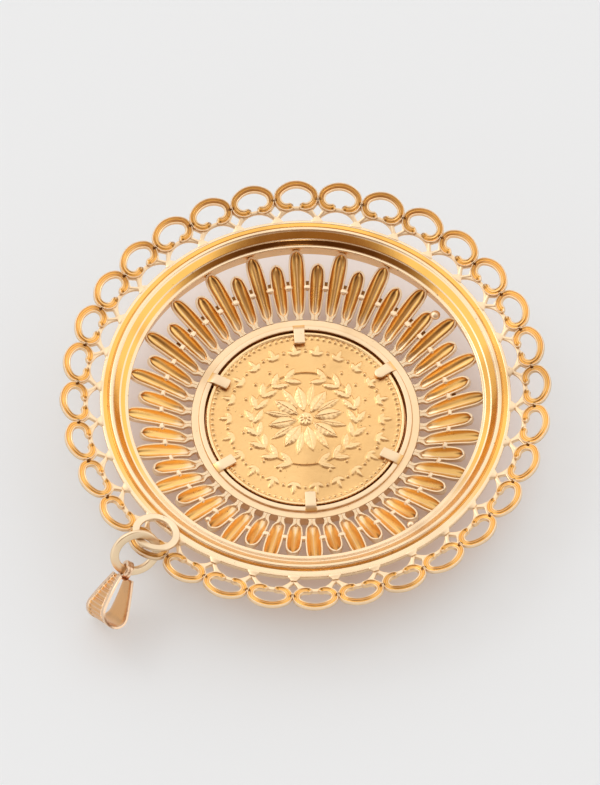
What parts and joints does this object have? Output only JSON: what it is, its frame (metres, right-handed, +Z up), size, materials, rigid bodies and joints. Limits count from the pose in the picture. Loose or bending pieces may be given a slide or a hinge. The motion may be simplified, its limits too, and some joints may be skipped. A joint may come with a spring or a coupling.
{
  "type": "coin pendant",
  "caption": "Gold coin pendant lying face down: a coin in a claw bezel, a dished sunburst of hollow petals, a stepped rim, an open scroll border, jump ring and tapered bail.",
  "frame": {"origin": "on the surface it lies on, at the centre of the footprint's box; the coin's axis stands 0.5 mm away at +Y", "axes": "+Z up out of the hollow back, +X right and +Y away in the picture's view"},
  "size_m": [0.0518, 0.0529, 0.0095],
  "materials": {
    "coin_gold": "worn struck gold",
    "satin_gold": "soft satin gold, brighter on the edges",
    "deep_gold": "saturated matt gold in the hollows, pale rims",
    "ring_gold": "pale satin gold"
  },
  "bodies": {
    "root": {"coin": "coin_gold", "claw_bezel": "satin_gold", "sunburst": "deep_gold", "rim_ring": "satin_gold", "scroll_border": "satin_gold", "fixed_ring": "ring_gold", "jump_ring": "ring_gold", "bail": "ring_gold"}
  },
  "joints": []
}
